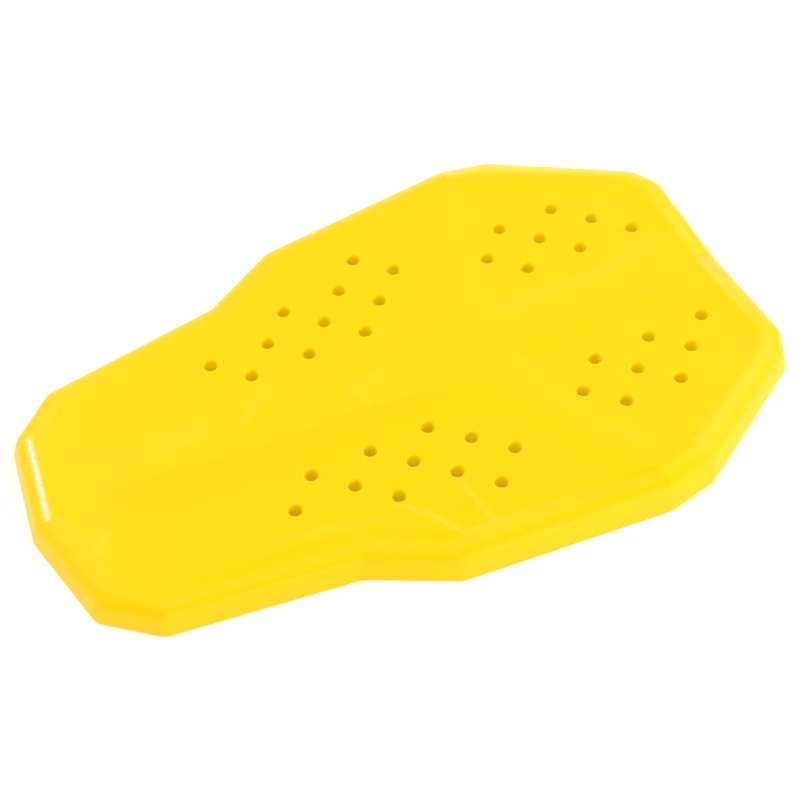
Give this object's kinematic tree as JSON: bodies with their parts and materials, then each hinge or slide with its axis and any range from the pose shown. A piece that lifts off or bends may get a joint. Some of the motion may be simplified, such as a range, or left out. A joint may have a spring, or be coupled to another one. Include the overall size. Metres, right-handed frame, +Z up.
{
  "type": "back protector",
  "caption": "Flat moulded foam pad with a shield-shaped outline, bevelled edge, shallow panels and slanting rows of vent holes; slips into a jacket to cushion the back.",
  "frame": {"origin": "middle of the pad's length and width, on its flat back", "axes": "+Z up through the thickness, from the flat back to the outer face; +Y along the spine, from the hem to the neck end; +X across to the right side"},
  "size_m": [0.2568, 0.4048, 0.0202],
  "materials": {
    "foam": "satin moulded foam skin"
  },
  "bodies": {
    "root": {"pad": "foam"}
  },
  "joints": []
}
